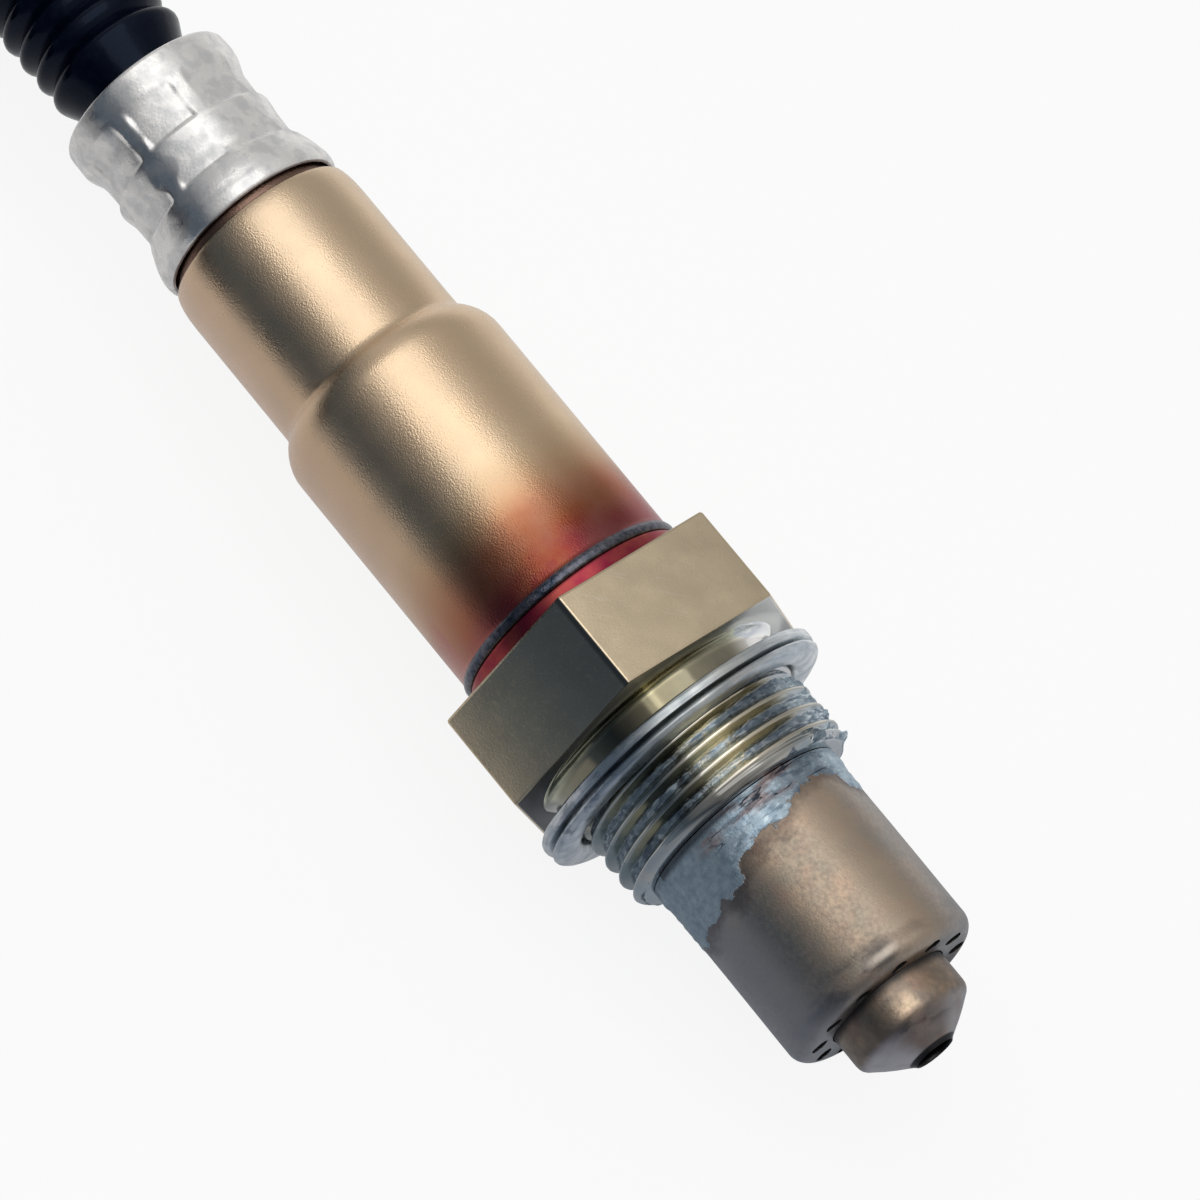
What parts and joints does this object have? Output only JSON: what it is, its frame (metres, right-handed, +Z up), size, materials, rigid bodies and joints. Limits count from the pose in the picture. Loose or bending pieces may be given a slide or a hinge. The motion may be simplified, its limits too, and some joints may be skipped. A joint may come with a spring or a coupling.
{
  "type": "oxygen sensor",
  "caption": "Planar exhaust oxygen sensor: threaded hexagon housing with captive gasket, perforated protection tubes, stepped sleeve, crimped grommet and corrugated lead with plug.",
  "frame": {"origin": "on the sensor's axis, in the plane of the hexagon's seating shoulder", "axes": "+X along the sensor's axis towards its sensing tip; +Z up, square to a wrench flat; the part lies on its side at its gasket's rim"},
  "size_m": [0.2156, 0.1452, 0.023],
  "materials": {
    "housing_steel": "passivated, matt",
    "gasket_steel": "rolled, satin",
    "tube_steel": "used, mottled",
    "nose_steel": "heat tinted",
    "tinted_steel": "drawn, heat tinted",
    "silver_steel": "drawn, satin",
    "ring_steel": "turned",
    "spring_steel": "rolled",
    "contact_metal": "plated",
    "element_ceramic": "fired",
    "white_ceramic": "fired",
    "talc": "pressed powder",
    "grommet_rubber": "moulded",
    "seal_rubber": "moulded",
    "wire_insulation": "extruded",
    "lead_sheath": "corrugated, semi-gloss",
    "tie_nylon": "moulded",
    "plug_plastic": "moulded",
    "lock_plastic": "moulded"
  },
  "bodies": {
    "root": {"sensor_housing": "housing_steel", "seal_ring": "gasket_steel", "outer_protection_tube": "tube_steel", "inner_protection_tube": "nose_steel", "sensor_element": "element_ceramic", "lower_ceramic": "white_ceramic", "talc_packing": "talc", "upper_ceramic": "white_ceramic", "packing_ring": "ring_steel", "protective_sleeve": "tinted_steel", "upper_contact_carrier": "white_ceramic", "lower_contact_carrier": "white_ceramic", "carrier_clip": "spring_steel", "contacts": "contact_metal", "support_disc": "white_ceramic", "sensor_wires": "wire_insulation", "wire_grommet": "grommet_rubber", "crimp_sleeve": "silver_steel", "sheath_run": "lead_sheath", "sheath_coil": "lead_sheath", "cable_tie": "tie_nylon", "connector_cap": "plug_plastic", "connector_housing": "plug_plastic", "connector_seal": "seal_rubber", "terminal_lock": "lock_plastic", "wire_seal": "seal_rubber", "connector_terminals": "contact_metal", "connector_wires": "wire_insulation"}
  },
  "joints": []
}
